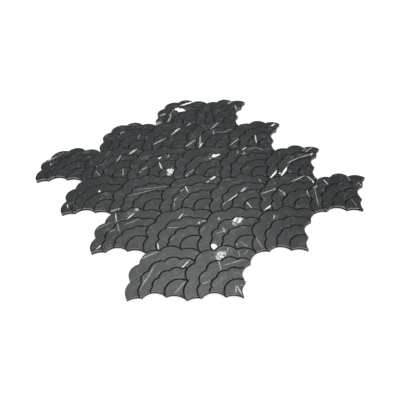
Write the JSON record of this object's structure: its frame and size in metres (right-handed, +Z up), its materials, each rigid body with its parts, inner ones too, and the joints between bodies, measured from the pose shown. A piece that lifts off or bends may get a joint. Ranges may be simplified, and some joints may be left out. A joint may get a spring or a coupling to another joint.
{
  "type": "self-adhesive mosaic tile",
  "caption": "Flat self-adhesive mosaic sheet of interlocking scalloped fans, each cut from stone as nested bands and a core on a thin adhesive backing.",
  "frame": {"origin": "centre of the sheet's box, on the underside of the adhesive backing", "axes": "+Z up out of the stone face; +Y along the fans' axes, towards their rounded tops; +X across the fans"},
  "size_m": [0.2996, 0.3044, 0.0042],
  "materials": {
    "dark_stone": "honed, near-black marble look with fine white veins; cut sides paler, grey to olive beige",
    "backing": "matte dark adhesive film"
  },
  "bodies": {
    "root": {"outer_band_row_1": "dark_stone", "middle_band_row_1": "dark_stone", "inner_band_row_1": "dark_stone", "core_row_1": "dark_stone", "outer_band_row_2": "dark_stone", "middle_band_row_2": "dark_stone", "inner_band_row_2": "dark_stone", "core_row_2": "dark_stone", "outer_band_row_3": "dark_stone", "middle_band_row_3": "dark_stone", "inner_band_row_3": "dark_stone", "core_row_3": "dark_stone", "outer_band_row_4": "dark_stone", "middle_band_row_4": "dark_stone", "inner_band_row_4": "dark_stone", "core_row_4": "dark_stone", "outer_band_row_5": "dark_stone", "middle_band_row_5": "dark_stone", "inner_band_row_5": "dark_stone", "core_row_5": "dark_stone", "outer_band_row_6": "dark_stone", "middle_band_row_6": "dark_stone", "inner_band_row_6": "dark_stone", "core_row_6": "dark_stone", "outer_band_row_7": "dark_stone", "middle_band_row_7": "dark_stone", "inner_band_row_7": "dark_stone", "core_row_7": "dark_stone", "outer_band_row_8": "dark_stone", "middle_band_row_8": "dark_stone", "inner_band_row_8": "dark_stone", "core_row_8": "dark_stone", "adhesive_backing": "backing"}
  },
  "joints": []
}
